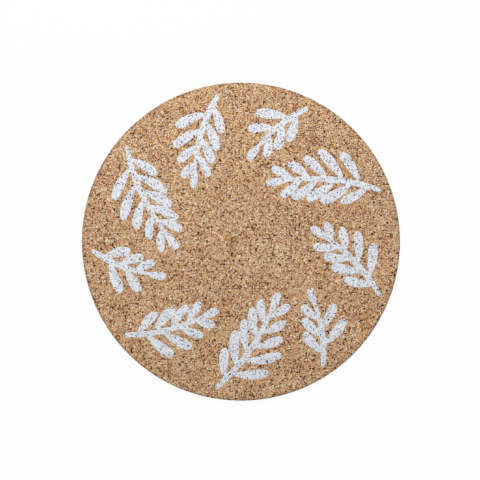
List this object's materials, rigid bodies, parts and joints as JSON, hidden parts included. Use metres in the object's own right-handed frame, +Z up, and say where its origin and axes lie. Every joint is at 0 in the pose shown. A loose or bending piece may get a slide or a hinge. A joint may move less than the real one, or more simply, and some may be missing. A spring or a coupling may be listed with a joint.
{
  "type": "cork placemat",
  "caption": "Round flat placemat of pressed cork granules, with white leaf sprigs printed around the rim of its top face, to lie under a dinner plate.",
  "frame": {"origin": "centre of the underside, on the table", "axes": "+Z up out of the printed face, +X and +Y across the disc, with +Y towards the top of the picture"},
  "size_m": [0.29, 0.29, 0.004],
  "materials": {
    "cork": "pressed cork granules, die-cut, unsealed, matt",
    "ink": "screen-printed white ink soaked into the cork, matt, broken by pores"
  },
  "bodies": {
    "root": {"cork_board": "cork", "long_sprig_1": "ink", "short_sprig_1": "ink", "mid_sprig_1": "ink", "long_sprig_2": "ink", "short_sprig_2": "ink", "mid_sprig_2": "ink", "long_sprig_3": "ink", "short_sprig_3": "ink", "mid_sprig_3": "ink"}
  },
  "joints": []
}
